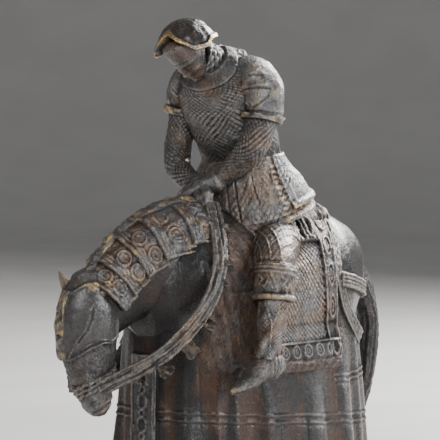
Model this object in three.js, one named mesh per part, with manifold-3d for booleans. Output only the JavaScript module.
// A bronze equestrian statuette: a tired knight, head sunk on his chest and hands crossed on the
// pommel, on a horse that hangs its head under an armoured neck and a long cloth. Horse, rider,
// tack and cloth are one casting, which stands on a low cast plinth.
//
// The frame is in millimetres. +Z is up, the horse looks along -X, and its left side, which is the
// show side, faces -Y. The origin is the middle of the plinth's underside.
import * as THREE from "three";
import { mergeVertices } from "three/addons/utils/BufferGeometryUtils.js";
import Module from "manifold-3d";

const wasm = await Module();
wasm.setup();

// Driving dimensions.
const FIGURE_HEIGHT = 436; // from the plinth's top to the top of the helmet
const PLINTH_HEIGHT = 14;
const PLINTH_MARGIN = 16; // how far the plinth runs out past the cloth's hem
const PLINTH_CORNER = 26; // radius of its corners in plan
const PLINTH_BEVEL = 3;
const CORNER_STEPS = 6; // facets in a quarter of each corner
const SEAT_GAP = 0.3; // between the hooves and the plinth

const SLIVER = 0.02; // triangles thinner than this, which the joins leave, are merged away

// The figure is carved in its own units, and one unit is this share of its height.
const UNIT = FIGURE_HEIGHT / 436;

const BRONZE = { color: 0x4a3d33, metalness: 0.85, roughness: 0.42 };
const DARK_BRONZE = { color: 0x3b322b, metalness: 0.85, roughness: 0.5 };

const TURN = 2 * Math.PI;
const degrees = (value) => (value * Math.PI) / 180;
const vector = ([x, y, z]) => new THREE.Vector3(x, y, z);
const mix = THREE.MathUtils.lerp;
const smooth = THREE.MathUtils.smoothstep;
const mirrored = ([x, y, z, ...rest]) => [x, -y, z, ...rest];

// A closed mesh as a solid, turned to face outwards.
function solid(points, triangles) {
  const geometry = new THREE.BufferGeometry();
  geometry.setAttribute("position", new THREE.Float32BufferAttribute(points.flat(), 3));
  geometry.setIndex(triangles);
  const merged = mergeVertices(geometry, 1e-4);
  const vertProperties = new Float32Array(merged.attributes.position.array);
  const triVerts = new Uint32Array(merged.index.array);
  const made = new wasm.Manifold(new wasm.Mesh({ numProp: 3, vertProperties, triVerts }));
  if (made.volume() > 0) return made;
  for (let i = 0; i < triVerts.length; i += 3) {
    [triVerts[i + 1], triVerts[i + 2]] = [triVerts[i + 2], triVerts[i + 1]];
  }
  return new wasm.Manifold(new wasm.Mesh({ numProp: 3, vertProperties, triVerts }));
}

// A skin over rings of points, closed by a fan at each end.
function skin(rings) {
  const count = rings[0].length;
  const points = rings.flat().map((p) => [p.x, p.y, p.z]);
  const triangles = [];
  for (let i = 0; i + 1 < rings.length; i++) {
    for (let j = 0; j < count; j++) {
      const a = i * count + j;
      const b = i * count + ((j + 1) % count);
      triangles.push(a, b, a + count, b, b + count, a + count);
    }
  }
  [0, rings.length - 1].forEach((end) => {
    const middle = new THREE.Vector3();
    rings[end].forEach((p) => middle.addScaledVector(p, 1 / count));
    points.push([middle.x, middle.y, middle.z]);
    for (let j = 0; j < count; j++) {
      const pair = [end * count + j, end * count + ((j + 1) % count)];
      triangles.push(...(end ? pair : pair.reverse()), points.length - 1);
    }
  });
  return solid(points, triangles);
}

// A slab between two grids of points of the same shape, closed round its rim.
function slab(outer, inner) {
  const rows = outer.length;
  const columns = outer[0].length;
  const points = [...outer.flat(), ...inner.flat()].map((p) => [p.x, p.y, p.z]);
  const face = (a, b, c, d) => [a, b, c, a, c, d];
  const triangles = [];
  const at = (i, j, under) => (under ? rows * columns : 0) + i * columns + j;
  for (let i = 0; i + 1 < rows; i++) {
    for (let j = 0; j + 1 < columns; j++) {
      triangles.push(...face(at(i, j), at(i + 1, j), at(i + 1, j + 1), at(i, j + 1)));
      triangles.push(...face(at(i, j, 1), at(i, j + 1, 1), at(i + 1, j + 1, 1), at(i + 1, j, 1)));
    }
  }
  for (let i = 0; i + 1 < rows; i++) {
    const last = columns - 1;
    triangles.push(...face(at(i, 0), at(i, 0, 1), at(i + 1, 0, 1), at(i + 1, 0)));
    triangles.push(...face(at(i, last), at(i + 1, last), at(i + 1, last, 1), at(i, last, 1)));
  }
  for (let j = 0; j + 1 < columns; j++) {
    const last = rows - 1;
    triangles.push(...face(at(0, j), at(0, j + 1), at(0, j + 1, 1), at(0, j, 1)));
    triangles.push(...face(at(last, j), at(last, j, 1), at(last, j + 1, 1), at(last, j + 1)));
  }
  return solid(points, triangles);
}

// A limb: oval sections along a smooth line. A station is [x, y, z, half width, half depth]. The
// half width lies along the side direction, at turn 0, and the half depth at a quarter turn.
class Limb {
  constructor(stations, side = [0, 1, 0], squareness = 2) {
    this.path = new THREE.CatmullRomCurve3(stations.map(vector));
    this.girth = new THREE.CatmullRomCurve3(stations.map(([, , , a, b]) => vector([a, b, 0])));
    this.side = vector(side);
    this.squareness = squareness;
  }

  // The point at a share of the length and a turn, raised off the surface by lift.
  at(share, turn, lift = 0) {
    const along = this.path.getTangent(share);
    const across = this.side.clone().addScaledVector(along, -this.side.dot(along)).normalize();
    const deep = across.clone().cross(along);
    const girth = this.girth.getPoint(share);
    const round = (value) => Math.sign(value) * Math.abs(value) ** (2 / this.squareness);
    return this.path
      .getPoint(share)
      .addScaledVector(across, (girth.x + lift) * round(Math.cos(turn)))
      .addScaledVector(deep, (girth.y + lift) * round(Math.sin(turn)));
  }

  // The whole limb as a solid. Lift is a function of share and turn.
  solid(steps, sides, lift = () => 0, from = 0, to = 1) {
    const rings = [];
    for (let i = 0; i <= steps; i++) {
      const share = mix(from, to, i / steps);
      const ring = [];
      for (let j = 0; j < sides; j++) {
        const turn = (TURN * j) / sides;
        ring.push(this.at(share, turn, lift(share, turn)));
      }
      rings.push(ring);
    }
    return skin(rings);
  }
}

// A raised piece of a surface between two values of each of its two measures. The surface is a
// function of both and of a lift; thick is a number or a function of the shares along and across.
function patch(surface, [from, to], [first, last], thick, rows, columns, depth = 4) {
  const lift = typeof thick === "function" ? thick : () => thick;
  const grid = (height) =>
    Array.from({ length: rows + 1 }, (_, i) =>
      Array.from({ length: columns + 1 }, (_, j) => {
        const [u, v] = [mix(from, to, i / rows), mix(first, last, j / columns)];
        return surface(u, v, height(i / rows, j / columns));
      }),
    );
  return slab(grid(lift), grid(() => -depth));
}

// A limb's surface by share of its length and turn in degrees.
const onLimb = (limb) => (share, turn, lift) => limb.at(share, degrees(turn), lift);

// A flat strap along a line of stations [x, y, z]. Facing gives the way its broad side looks at
// a share of its length.
function strap(stations, width, thickness, facing, steps) {
  const path = new THREE.CatmullRomCurve3(stations.map(vector));
  const rings = [];
  for (let i = 0; i <= steps; i++) {
    const along = path.getTangent(i / steps);
    const look = facing(i / steps);
    const out = look.clone().addScaledVector(along, -look.dot(along)).normalize();
    const across = out.clone().cross(along);
    const corner = (a, b) =>
      path
        .getPoint(i / steps)
        .addScaledVector(across, (a * width) / 2)
        .addScaledVector(out, (b * thickness) / 2);
    rings.push([corner(-1, -1), corner(1, -1), corner(1, 1), corner(-1, 1)]);
  }
  return skin(rings);
}

// The horse's barrel, from chest to buttock. Stations run backwards, along +X.
const barrel = new Limb([
  [-128, 0, 180, 16, 18],
  [-118, 0, 184, 35, 44],
  [-92, 0, 192, 50, 65],
  [-50, 0, 196, 58, 74],
  [0, 0, 192, 63, 64],
  [50, 0, 194, 64, 65],
  [88, 0, 196, 58, 68],
  [113, 0, 194, 46, 59],
  [129, 0, 187, 30, 42],
  [138, 0, 181, 9, 14],
]);

// The cloth hangs from the barrel to its hem in upright folds.
const HEM = 17;
const CLOTH_TOP = 205;
const CLOTH_MIDDLE = 4; // the middle of its length, along X
const CLOTH_PLAN = 2.5; // 2 would be an oval, and more is squarer
// Each fold is [direction, half width, strength]; 0 degrees is the chest and 90 the horse's left.
const FOLDS = [
  [14, 4, 0.35],
  [30, 8, 1],
  [49, 4, 0.65],
  [59, 4, 0.5],
  [77, 6, 0.9],
  [96, 6, 1],
  [117, 6, 0.9],
  [134, 6, 0.75],
  [152, 8, 1],
  [169, 6, 0.6],
];
const FOLD_DEPTH = 8;
const ODD_SIDE = 3; // degrees by which the folds of the right side stand elsewhere

function clothFold(heading) {
  const left = heading <= 180 ? heading : 360 - heading - ODD_SIDE;
  const ridge = ([middle, half, strength]) => strength * Math.exp(-(((left - middle) / half) ** 2));
  return FOLDS.map(ridge).reduce((sum, value) => sum + value, 0);
}

function onCloth(heading, height, lift = 0) {
  const drop = (CLOTH_TOP - height) / (CLOTH_TOP - HEM);
  const halfLength = 122 + 4 * smooth(drop, 0, 0.1) + 8 * drop ** 1.5;
  const halfWidth = 58 + 4 * smooth(drop, 0, 0.1) + 10 * drop;
  const reach = FOLD_DEPTH * smooth(drop, 0.05, 0.95) * (clothFold(heading) - 0.4) + lift;
  const angle = degrees(heading);
  const round = (value) => Math.sign(value) * Math.abs(value) ** (2 / CLOTH_PLAN);
  return new THREE.Vector3(
    CLOTH_MIDDLE - (halfLength + reach) * round(Math.cos(angle)),
    -(halfWidth + reach) * round(Math.sin(angle)),
    height,
  );
}

const CLOTH_HEIGHTS = [HEM, 70, 130, 186, CLOTH_TOP];
const CLOTH_STEP = 6; // degrees

function cloth() {
  const ring = (height) =>
    Array.from({ length: 360 / CLOTH_STEP }, (_, i) => onCloth(i * CLOTH_STEP, height));
  return skin(CLOTH_HEIGHTS.map(ring));
}

// A raised strip runs down the chest.
const CHEST_STRIP = { half: 8.5, top: 150, thick: 2.4 };

function chestStrip() {
  const { half, top, thick } = CHEST_STRIP;
  return patch(onCloth, [-half, half], [HEM + 1, top], thick, 2, 3);
}

// The bare neck, from inside the chest to the poll.
const neck = new Limb([
  [-45, 0, 212, 41, 58],
  [-84, 0, 221, 36, 54],
  [-114, 0, 221, 31, 46],
  [-140, 3, 213, 26, 37],
  [-162, 6, 197, 22, 30],
  [-178, 9, 180, 18, 24],
]);

// Neck plates that overlap towards the head: [from, to, degrees from the crest down each side].
const NECK_PLATES = [
  [0.1, 0.27, 66],
  [0.27, 0.44, 74],
  [0.44, 0.575, 80],
  [0.575, 0.7, 86],
  [0.7, 0.815, 92],
];
const PLATE_THICK = 5.4;
const PLATE_SLOPE = 3.2; // how much thinner a plate is at its rear edge
const PLATE_LAP = 0.02;
const CREST = { from: 0.1, to: 0.9, thick: 5.9, ridge: 3 };

function neckPlates() {
  const parts = NECK_PLATES.map(([from, to, reach]) => {
    const lift = (along, across) => {
      const rim = across < 0.01 || across > 0.99 ? 0.8 : 0;
      return mix(PLATE_THICK - PLATE_SLOPE, PLATE_THICK, along) + rim;
    };
    return patch(onLimb(neck), [from, to + PLATE_LAP], [90 - reach, 90 + reach], lift, 1, 8);
  });
  const crest = (along, across) => CREST.thick + CREST.ridge * Math.sin(Math.PI * across);
  parts.push(patch(onLimb(neck), [CREST.from, CREST.to], [82, 98], crest, 6, 2));
  return parts;
}

// The head hangs down, turned a little to the horse's right.
const HEAD_YAW = 10;
const headSide = [Math.sin(degrees(HEAD_YAW)), Math.cos(degrees(HEAD_YAW)), 0];
const head = new Limb(
  [
    [-172, 7, 222, 10, 12],
    [-179, 8, 211, 15, 20],
    [-181, 9, 196, 18.5, 25],
    [-181, 10, 176, 20, 27],
    [-180, 10, 156, 18.5, 25.5],
    [-177, 10, 138, 15.5, 20.5],
    [-174, 9, 122, 12.5, 15.5],
    [-171, 8, 110, 11.5, 12.5],
    [-168, 8, 103, 6, 6],
  ],
  headSide,
);
// The face plate's edges down the cheek: [degrees, share at the top, share below].
const FACE_PLATE = [
  [104, 0.17, 0.515],
  [132, 0.13, 0.5],
  [160, 0.1, 0.463],
  [188, 0.12, 0.446],
  [216, 0.22, 0.42],
];
const CHEEK = { thick: 1.4, swell: 1.6 };
const NOSE_PLATES = { count: 3, from: 0.17, pitch: 0.115, long: 0.1, thick: 4.9, step: 0.4 };
const NOSEBAND = { from: 0.685, to: 0.775, thick: 2, climb: 0.0006 };
const EAR = { wide: 5.5, thick: 3.5 };
const RIGHT_EAR = [
  [-190, 20, 202],
  [-199, 27, 226],
];
const LEFT_EAR = [
  [-183, -6, 206],
  [-166, -11, 218],
];

// A cheek of the face plate, by share of its own height and degrees round the head.
function onCheek(isLeft) {
  return (share, turn, lift) => {
    const seen = isLeft ? turn : 180 - turn;
    const next = Math.min(Math.max(1, FACE_PLATE.findIndex(([at]) => at >= seen)), FACE_PLATE.length - 1);
    const [before, after] = [FACE_PLATE[next - 1], FACE_PLATE[next]];
    const place = (seen - before[0]) / (after[0] - before[0]);
    const edge = (i) => mix(before[i], after[i], place);
    return onLimb(head)(mix(edge(1), edge(2), share), turn, lift);
  };
}

function horseHead() {
  const onHead = onLimb(head);
  const parts = [head.solid(10, 12)];
  // The face plate: two cheeks and a stepped ridge down the nose.
  const cheek = (along) => CHEEK.thick + CHEEK.swell * Math.sin(Math.PI * along) ** 0.5;
  parts.push(patch(onCheek(true), [0, 1], [104, 216], cheek, 3, 4));
  parts.push(patch(onCheek(false), [0, 1], [-36, 76], cheek, 3, 4));
  const { count, from, pitch, long, thick, step } = NOSE_PLATES;
  for (let i = 0; i < count; i++) {
    const start = from + pitch * i;
    parts.push(patch(onHead, [start, start + long], [76, 104], thick - step * i, 1, 2));
  }
  const band = (share, turn, lift) => {
    const away = Math.abs(((turn - 90 + 540) % 360) - 180);
    return onHead(share - NOSEBAND.climb * away, turn, lift);
  };
  parts.push(patch(band, [NOSEBAND.from, NOSEBAND.to], [-180, 179.9], NOSEBAND.thick, 1, 12));
  // The right ear stands up, and the left lies back along the poll.
  parts.push(ear(RIGHT_EAR), ear(LEFT_EAR));
  return parts;
}

function ear([root, tip]) {
  const middle = root.map((value, i) => mix(value, tip[i], 0.45));
  return new Limb([
    [...root, EAR.wide, EAR.thick],
    [...middle, EAR.wide, EAR.thick],
    [...tip, 0.6, 0.6],
  ]).solid(3, 6);
}

// The broad reins swing from the noseband out over the shoulders and up to the hands.
const REIN_LEFT = [
  [-184, -6, 126],
  [-174, -18, 134],
  [-162, -34, 144],
  [-149, -48, 156],
  [-133, -57, 172],
  [-114, -60, 190],
  [-97, -58, 208],
  [-82, -50, 229],
  [-69, -36, 253],
  [-53, -14, 277],
];
const REIN_RIGHT = REIN_LEFT.map(([x, y, z], i) => (i < 2 ? [x, 18 - y, z] : [x, -y, z]));
const REIN_WIDTH = 13;
const REIN_THICK = 4;
const TAB_THICK = 2.6;
// Tabs of torn cloth hang from the outer edge: [share of the rein's length, long, wide].
const REIN_TABS = [
  [0.2, 8, 12],
  [0.3, 11, 13],
  [0.42, 12, 14],
  [0.53, 10, 12],
  [0.86, 7, 9],
];

function rein(stations, side) {
  const facing = vector([-0.45, 0.8 * side, 0.25]);
  const parts = [strap(stations, REIN_WIDTH, REIN_THICK, () => facing, 16)];
  const path = new THREE.CatmullRomCurve3(stations.map(vector));
  for (const [share, long, wide] of REIN_TABS) {
    const along = path.getTangent(share);
    const out = facing.clone().addScaledVector(along, -facing.dot(along)).normalize();
    const across = out.clone().cross(along).multiplyScalar(-side);
    const root = path.getPoint(share).addScaledVector(across, 2 - REIN_WIDTH / 2);
    const tip = root.clone().addScaledVector(across, -long);
    parts.push(strap([root.toArray(), tip.toArray()], wide, TAB_THICK, () => facing, 1));
  }
  return parts;
}

// The tail falls clear of the hindquarters and comes in again at the hocks.
const tail = new Limb(
  [
    [116, 0, 222, 8, 7],
    [142, -2, 216, 10, 8],
    [161, -4, 192, 11, 9],
    [172, -4, 157, 11, 9],
    [170, -4, 116, 10, 8],
    [161, -3, 78, 6, 5],
    [155, -2, 58, 2, 2],
  ],
  [0, 1, 0],
);

// The saddle rises to a pommel under the hands and to a cantle behind the rider.
function saddle() {
  return new Limb([
    [-62, 0, 258, 16, 16],
    [-44, 0, 254, 26, 17],
    [-10, 0, 250, 34, 14],
    [40, 0, 250, 38, 14],
    [72, 0, 258, 33, 15],
    [90, 0, 256, 26, 13],
    [106, 0, 246, 12, 8],
  ]).solid(7, 12);
}

// The cloth under the saddle lies over the barrel and falls straight at the foot.
const FLAP = { front: -30, back: 50, bottom: 131, thick: 4, border: 15.5, rim: 1.6, corner: 9 };
const FLAP_LEAN = { top: 34, waist: 4 }; // how far its rear edge leans back and draws in
// The round that it lies on: its middle's height, its reach above that and to the side, and how
// much wider it hangs at the foot.
const FLAP_ROUND = { middle: 190, high: 67, wide: 68, flare: 7 };

function onFlap(side) {
  return (x, drop, lift = 0) => {
    const angle = degrees(mix(80, -16, Math.min(drop, 0.7) / 0.7));
    const free = Math.max(0, drop - 0.7) / 0.3;
    const out = FLAP_ROUND.wide * Math.cos(angle) ** 0.85 + FLAP_ROUND.flare * free + lift;
    const high = FLAP_ROUND.middle + FLAP_ROUND.high * Math.sin(angle);
    const share = (x - FLAP.front) / (FLAP.back - FLAP.front);
    const top = FLAP_LEAN.top * (Math.max(0, 0.5 - drop) / 0.5) ** 2;
    const waist = FLAP_LEAN.waist * Math.exp(-(((drop - 0.55) / 0.16) ** 2));
    const rounded = 1 - Math.sqrt(1 - Math.min(Math.max(0, (drop - 0.86) / 0.14), 0.999) ** 2);
    const shift = (top - waist) * share - FLAP.corner * rounded * share ** 3;
    const height = mix(high, FLAP.bottom, free) + lift * Math.sin(angle);
    return new THREE.Vector3(x + shift, -side * out, height);
  };
}

function saddleFlap(side) {
  const surface = onFlap(side);
  const { front, back, thick, border, rim } = FLAP;
  // The net, the rear border, the band of rings and the rolled hem; each runs under the next.
  return [
    patch(surface, [front, back - border + 1], [0.1, 0.82], thick, 1, 6, 8),
    patch(surface, [back - border, back], [0.1, 0.9], thick + rim, 1, 7, 8.2),
    patch(surface, [front, back], [0.8, 0.93], thick + 1.1 * rim, 3, 1, 8.4),
    patch(surface, [front, back], [0.915, 1], thick + 0.5 * rim, 3, 2, 8.6),
  ];
}

// Straps over the hindquarters, as X and height on the horse's side.
const BREECHING = [
  [104, 261],
  [76, 246],
  [65, 229],
  [60, 215],
  [61.5, 198],
  [69, 184],
  [82, 172],
  [98, 158],
  [117, 149],
  [128, 145],
];
const BREECHING_SIZE = { wide: 11.5, thick: 4.4 };
const CRUPPER_BAND = [
  [62, 206],
  [81, 202],
  [109, 194.5],
  [131, 188],
];
const CRUPPER_SIZE = { wide: 13, thick: 6 };

// How far the horse's side stands out at a place, by its barrel or by its cloth.
function sideReach(x, z) {
  let [low, high] = [0, 1];
  for (let i = 0; i < 24; i++) {
    const middle = (low + high) / 2;
    if (barrel.path.getPoint(middle).x < x) low = middle;
    else high = middle;
  }
  const [middle, girth] = [barrel.path.getPoint(low), barrel.girth.getPoint(low)];
  const up = Math.min(1, Math.abs(z - middle.z) / girth.y);
  if (z > CLOTH_TOP) return girth.x * Math.sqrt(1 - up * up);
  const heading = x < CLOTH_MIDDLE ? [0, 90] : [180, 90];
  for (let i = 0; i < 16; i++) {
    const half = (heading[0] + heading[1]) / 2;
    const beyond = Math.abs(onCloth(half, z).x - CLOTH_MIDDLE) > Math.abs(x - CLOTH_MIDDLE);
    heading[beyond ? 0 : 1] = half;
  }
  return Math.max(girth.x * Math.sqrt(1 - up * up), -onCloth(heading[0], z).y);
}

// The broad round of the horse's side, which gives the way that a strap on it faces.
const SIDE_ROUND = { middle: 190, long: 126, wide: 63, high: 95 };

function alongSide(line, { wide, thick }, side) {
  const stations = line.map(([x, z]) => [x, -side * (sideReach(x, z) + 0.5), z]);
  const path = new THREE.CatmullRomCurve3(stations.map(vector));
  const facing = (share) => {
    const place = path.getPoint(share);
    const along = (place.x - CLOTH_MIDDLE) / SIDE_ROUND.long ** 2;
    return vector([along, place.y / SIDE_ROUND.wide ** 2, (place.z - SIDE_ROUND.middle) / SIDE_ROUND.high ** 2]);
  };
  return strap(stations, wide, thick, facing, line.length + 2);
}

function straps() {
  return [1, -1].flatMap((side) => [
    alongSide(BREECHING, BREECHING_SIZE, side),
    alongSide(CRUPPER_BAND, CRUPPER_SIZE, side),
  ]);
}

// The rider's trunk, from the seat to the base of the neck. He leans and turns to his left.
const TRUNK_YAW = 10;
const trunkSide = [Math.sin(degrees(TRUNK_YAW)), -Math.cos(degrees(TRUNK_YAW)), 0];
const trunk = new Limb(
  [
    [22, 0, 240, 40, 36],
    [18, 0, 264, 40, 34],
    [11, 0, 290, 37, 31],
    [3, 0, 313, 35, 28],
    [-5, 0, 334, 37, 29],
    [-13, 0, 354, 43, 30],
    [-20, 0, 370, 47, 29],
    [-28, 0, 382, 43, 26],
    [-36, 0, 391, 31, 22],
    [-43, 0, 398, 19, 16],
  ],
  trunkSide,
  2.2,
);

// Arms. Each station list runs from inside the shoulder to the wrist.
const ARM_LEFT = [
  [-24, -16, 387, 15, 17],
  [-19, -33, 382, 17, 18],
  [-18, -42, 367, 16, 17],
  [-21, -43, 347, 13, 15],
  [-28, -41, 328, 13, 13.5],
  [-30, -27, 313, 11.5, 11.5],
  [-38, -10, 297, 8.5, 8.5],
];
const ARM_RIGHT = [
  [-28, 14, 386, 15, 17],
  [-29, 31, 380, 15, 16],
  [-28, 39, 363, 13.5, 15],
  [-29, 43, 340, 12, 12.5],
  [-33, 44, 320, 11.5, 12.5],
  [-40, 37, 305, 11.5, 11.5],
  [-43, 21, 295, 9.5, 9.5],
  [-45, 8, 291, 8, 8],
];

const SLEEVE = { thick: 2.6, hem: 4.2 };

function arms() {
  const parts = [];
  const sleeves = [
    [ARM_LEFT, 0.06, 0.47],
    [ARM_RIGHT, 0.06, 0.36],
  ];
  for (const [stations, from, to] of sleeves) {
    const arm = new Limb(stations, [1, 0, 0]);
    parts.push(arm.solid(8, 10));
    // The short sleeve of the surcoat ends above the elbow in a rolled hem.
    const grown = (share) => SLEEVE.thick * smooth(share, from, from + 0.16);
    parts.push(arm.solid(3, 10, grown, from, to));
    parts.push(arm.solid(1, 10, () => SLEEVE.hem, to - 0.04, to));
  }
  // Hands, one over the other on the pommel.
  parts.push(
    new Limb([
      [-37, -12, 297, 7.5, 8],
      [-45, -4, 292, 8, 7.5],
      [-53, 5, 288, 9, 6],
      [-60, 12, 281, 6, 4],
      [-62, 14, 275, 3, 3],
    ]).solid(4, 8),
  );
  parts.push(
    new Limb([
      [-44, 10, 291, 7.5, 8],
      [-50, 1, 286, 9, 8],
      [-55, -8, 281, 8, 6],
      [-57, -14, 275, 4, 4],
    ]).solid(4, 8),
  );
  return parts;
}

// Legs. They hang straight from the knee, with the toe pointing down.
const THIGH = [
  [22, -18, 244, 24, 24],
  [2, -38, 240, 23, 23],
  [-18, -56, 234, 20, 21],
  [-32, -68, 224, 17, 18],
  [-38, -73, 212, 15, 16],
];
const SHIN = [
  [-36, -73, 226, 14, 15],
  [-41, -75, 205, 13.5, 14.5],
  [-45, -77, 184, 12, 13],
  [-50, -78, 163, 10.5, 12],
  [-55, -79, 145, 9, 12],
];
const FOOT = [
  [-38, -80, 138, 6, 7],
  [-46, -80, 140, 9, 12],
  [-60, -79, 139, 9.5, 11],
  [-74, -78, 130, 8.5, 7.5],
  [-87, -77, 125, 6, 4.5],
  [-97, -76, 121.5, 1.5, 1.5],
];

function leg(place) {
  const thigh = new Limb(THIGH.map(place));
  const shin = new Limb(SHIN.map(place));
  return [
    thigh.solid(5, 12),
    shin.solid(6, 10),
    // The knee piece, with a raised band over it and a turned lower lip.
    shin.solid(2, 10, () => 3.2, 0.02, 0.36),
    shin.solid(1, 10, () => 4.4, 0.04, 0.08),
    shin.solid(1, 10, () => 5.2, 0.32, 0.37),
    new Limb(FOOT.map(place)).solid(6, 8),
  ];
}

// The rider's head, upright and facing -X about its own middle, before it is bowed and set. The
// helmet is bowed less and so sits on the back of it.
const HEAD_SET = { at: [-66, 1, 406], bow: 58, turn: 7, tip: -10 };
const HELMET = { long: 30, wide: 26.5, high: 30, rim: 1.6, bow: 15, sides: 24 };
const EAR_FLAP = { turn: 68, half: 24, drop: 6 };
const SKULL = [
  [-20, 0, -28, 5, 5],
  [-18, 0, -23, 11, 9],
  [-13, 0, -12, 16, 15],
  [-7, 0, 0, 19, 20],
  [-3, 0, 12, 19, 21],
  [0, 0, 17, 10, 12],
];
const SKULL_SIZE = HELMET.long / 35; // the skull grows with its helmet
const SKULL_RISE = HELMET.high / 5;

// The helmet's rim arches over the brow and hangs a little lower at each ear.
function rimHeight(turn) {
  const away = Math.abs((((turn * 180) / Math.PI + 180) % 360) - 180);
  const flap = Math.exp(-(Math.abs((away - EAR_FLAP.turn) / EAR_FLAP.half) ** 4));
  return 9 + 3 * Math.cos(turn) + 11 * Math.exp(-((away / 28) ** 2)) - EAR_FLAP.drop * flap;
}

function helmetShell(lift, from, to, steps) {
  const rings = [];
  for (let i = 0; i <= steps; i++) {
    const ring = [];
    for (let j = 0; j < HELMET.sides; j++) {
      const turn = (TURN * j) / HELMET.sides;
      const z = mix(from(turn), to(turn), i / steps);
      const spread = Math.sqrt(Math.max(0.01, 1 - (Math.max(0, z) / HELMET.high) ** 2));
      const x = -(HELMET.long * spread + lift) * Math.cos(turn);
      const y = -(HELMET.wide * spread + lift) * Math.sin(turn);
      ring.push(new THREE.Vector3(x, y, z));
    }
    rings.push(ring);
  }
  return skin(rings);
}

function riderHead() {
  const { at, bow, turn, tip } = HEAD_SET;
  const set = (part, bowed, rise = 0) =>
    part.rotate([tip, 0, 0]).rotate([0, -bowed, 0]).rotate([0, 0, turn]).translate([at[0], at[1], at[2] + rise]);
  const stations = SKULL.map((station) => station.map((value) => value * SKULL_SIZE));
  const low = (angle) => rimHeight(angle) - 1.5;
  const high = (angle) => rimHeight(angle) + 2.5;
  return [
    set(new Limb(stations).solid(6, 12), bow, SKULL_RISE),
    set(helmetShell(0, rimHeight, () => HELMET.high - 0.1, 3), HELMET.bow),
    set(helmetShell(HELMET.rim, low, high, 1), HELMET.bow),
  ];
}

function rider() {
  const parts = [trunk.solid(9, 16), ...arms(), ...riderHead()];
  parts.push(...leg((station) => station), ...leg(mirrored));
  // A rolled collar lies on the shoulders, tipped forward with the neck.
  const collar = new Limb(
    [
      [-22, 0, 383, 27, 24],
      [-27, 0, 388, 29, 26],
      [-33, 0, 394, 25, 22],
      [-40, 0, 401, 17, 16],
    ],
    trunkSide,
  );
  parts.push(collar.solid(3, 16));
  // The neck runs forward into the head.
  parts.push(
    new Limb([
      [-24, 0, 386, 17, 17],
      [-44, 0, 398, 16, 17],
      [-56, 0, 402, 15, 15],
    ]).solid(2, 10),
  );
  // The skirt of the mail coat spreads over the lap and the cantle.
  const skirt = new Limb(
    [
      [3, 0, 316, 34, 27],
      [5, 0, 298, 41, 37],
      [9, 0, 281, 48, 45],
      [14, 0, 261, 54, 52],
    ],
    [0, 1, 0],
    2.9,
  );
  parts.push(skirt.solid(3, 16));
  return parts;
}

// Below the hem only the fetlocks and hooves show.
const HOOVES = [
  [-96, -36],
  [-84, 38],
  [92, -38],
  [82, 36],
];

function hoof([x, y]) {
  return new Limb([
    [x + 4, y, 40, 11, 11],
    [x + 3, y, 24, 11, 11],
    [x + 1, y, 13, 13, 13],
    [x - 2, y, -3, 17, 18],
  ]).solid(3, 10);
}

function horse() {
  return [
    barrel.solid(10, 16),
    cloth(),
    chestStrip(),
    neck.solid(7, 14),
    ...neckPlates(),
    ...horseHead(),
    ...rein(REIN_LEFT, -1),
    ...rein(REIN_RIGHT, 1),
    tail.solid(8, 8),
    saddle(),
    ...saddleFlap(1),
    ...saddleFlap(-1),
    ...straps(),
    ...HOOVES.map(hoof),
  ];
}

function geometryOf(made) {
  const mesh = made.getMesh();
  const geometry = new THREE.BufferGeometry();
  geometry.setAttribute("position", new THREE.BufferAttribute(mesh.vertProperties, 3));
  geometry.setIndex(new THREE.BufferAttribute(mesh.triVerts, 1));
  return geometry;
}

function figure() {
  // The hooves are cut off flat where they stand.
  const joined = [...horse(), ...rider()]
    .reduce((sum, part) => sum.add(part))
    .trimByPlane([0, 0, 1], 0)
    .asOriginal()
    .simplify(SLIVER);
  // Pockets that the forms seal between them are solid metal, so only the outer skin counts.
  const skins = joined.decompose().filter((part) => part.volume() > 0);
  if (skins.length !== 1) throw new Error(`the figure is in ${skins.length} pieces`);
  const geometry = geometryOf(skins[0]).scale(UNIT, UNIT, UNIT);
  const mesh = new THREE.Mesh(geometry, new THREE.MeshStandardMaterial(BRONZE));
  mesh.name = "horse_and_rider";
  mesh.position.set(-CLOTH_MIDDLE * UNIT, 0, PLINTH_HEIGHT + SEAT_GAP);
  return mesh;
}

// A level rounded rectangle, as a ring of points.
function roundedRing(halfLength, halfWidth, corner, height) {
  const ring = [];
  for (let quarter = 0; quarter < 4; quarter++) {
    const x = quarter === 0 || quarter === 3 ? halfLength - corner : corner - halfLength;
    const y = quarter < 2 ? halfWidth - corner : corner - halfWidth;
    for (let i = 0; i <= CORNER_STEPS; i++) {
      const angle = (TURN * (quarter + i / CORNER_STEPS)) / 4;
      const round = [corner * Math.cos(angle), corner * Math.sin(angle)];
      ring.push(new THREE.Vector3(x + round[0], y + round[1], height));
    }
  }
  return ring;
}

function plinth() {
  const long = UNIT * (onCloth(180, HEM).x - CLOTH_MIDDLE) + PLINTH_MARGIN;
  const wide = UNIT * -onCloth(90, HEM).y + PLINTH_MARGIN;
  const made = skin([
    roundedRing(long, wide, PLINTH_CORNER, 0),
    roundedRing(long, wide, PLINTH_CORNER, PLINTH_HEIGHT - PLINTH_BEVEL),
    roundedRing(
      long - PLINTH_BEVEL,
      wide - PLINTH_BEVEL,
      PLINTH_CORNER - PLINTH_BEVEL,
      PLINTH_HEIGHT,
    ),
  ]);
  const mesh = new THREE.Mesh(geometryOf(made), new THREE.MeshStandardMaterial(DARK_BRONZE));
  mesh.name = "plinth";
  return mesh;
}

const statuette = new THREE.Group();
statuette.add(figure(), plinth());

export default statuette;
